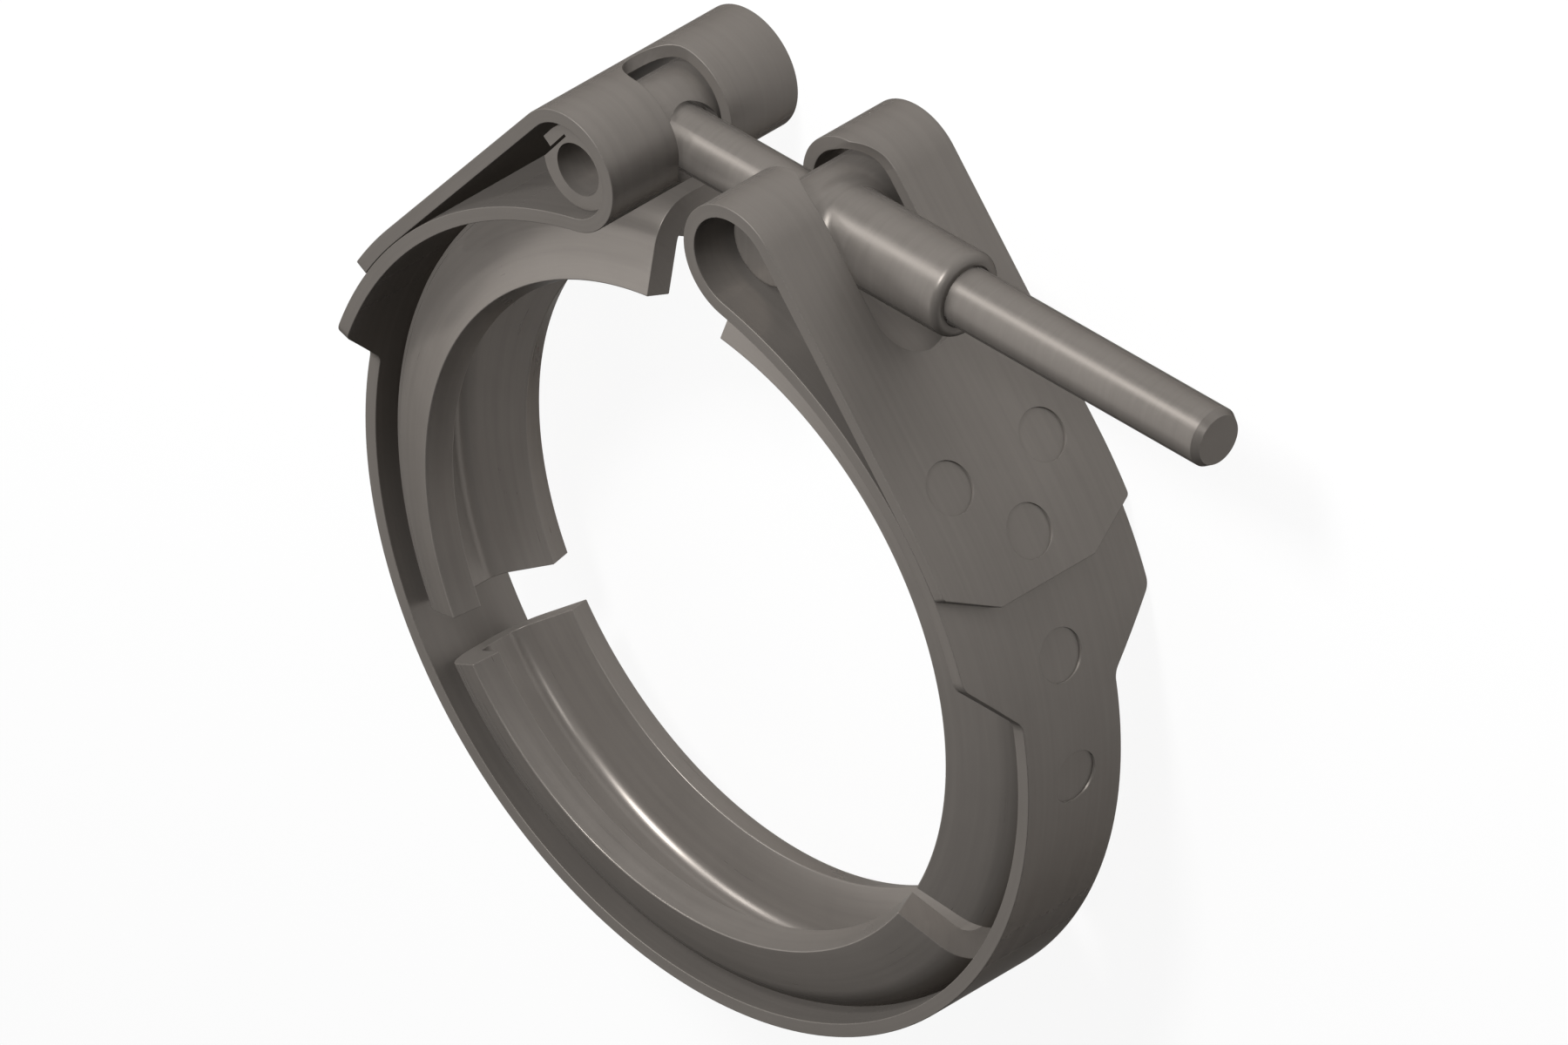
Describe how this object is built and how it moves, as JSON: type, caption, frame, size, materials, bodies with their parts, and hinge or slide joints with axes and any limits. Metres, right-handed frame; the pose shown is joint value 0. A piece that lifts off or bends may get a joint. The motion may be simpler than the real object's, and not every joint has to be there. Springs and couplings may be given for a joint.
{
  "type": "v-band clamp",
  "caption": "V-band clamp with a looped steel strip, rolled V segments inside it, and a T-bolt that runs through a trunnion to draw the two ends of the strip together.",
  "frame": {"origin": "centre of the V ring, on the mid-plane of the strip", "axes": "+Z along the ring's axis, out of its upper side as it lies; +X along the bolt towards its free end; +Y from the ring's centre towards the gap between the loops"},
  "size_m": [0.1124, 0.1036, 0.0258],
  "materials": {
    "strip_steel": "satin",
    "segment_steel": "satin",
    "bolt_steel": "satin"
  },
  "bodies": {
    "lower": {"band": "strip_steel", "v_segment_bottom": "segment_steel"},
    "left_arm": {"v_segment_left": "segment_steel"},
    "right_arm": {"v_segment_right": "segment_steel"},
    "bolt": {"bolt_barrel": "bolt_steel", "t_bolt": "bolt_steel"},
    "trunnion": {"trunnion": "bolt_steel"}
  },
  "joints": [
    {"name": "left_flex", "type": "hinge", "parent": "lower", "child": "left_arm", "pos_m": [-0.03922, -0.02356, 0], "axis": [0, 0, 1], "range_deg": [-3, 10], "stiffness_Nm_per_rad": 0.5, "deforming": ["band"]},
    {"name": "right_flex", "type": "hinge", "parent": "lower", "child": "right_arm", "pos_m": [0.03922, -0.02356, 0], "axis": [0, 0, 1], "range_deg": [-10, 3], "deforming": ["band"]},
    {"name": "bolt_swing", "type": "hinge", "parent": "left_arm", "child": "bolt", "pos_m": [-0.0116, 0.05038, 0], "axis": [0, 0, 1], "range_deg": [-10, 3]},
    {"name": "trunnion_swing", "type": "hinge", "parent": "right_arm", "child": "trunnion", "pos_m": [0.0116, 0.05038, 0], "axis": [0, 0, 1], "range_deg": [-3, 10]}
  ],
  "couplings": [
    {"joint": "right_flex", "follows": "left_flex", "ratio": -1},
    {"joint": "bolt_swing", "follows": "left_flex", "ratio": -1},
    {"joint": "trunnion_swing", "follows": "left_flex", "ratio": 1}
  ]
}
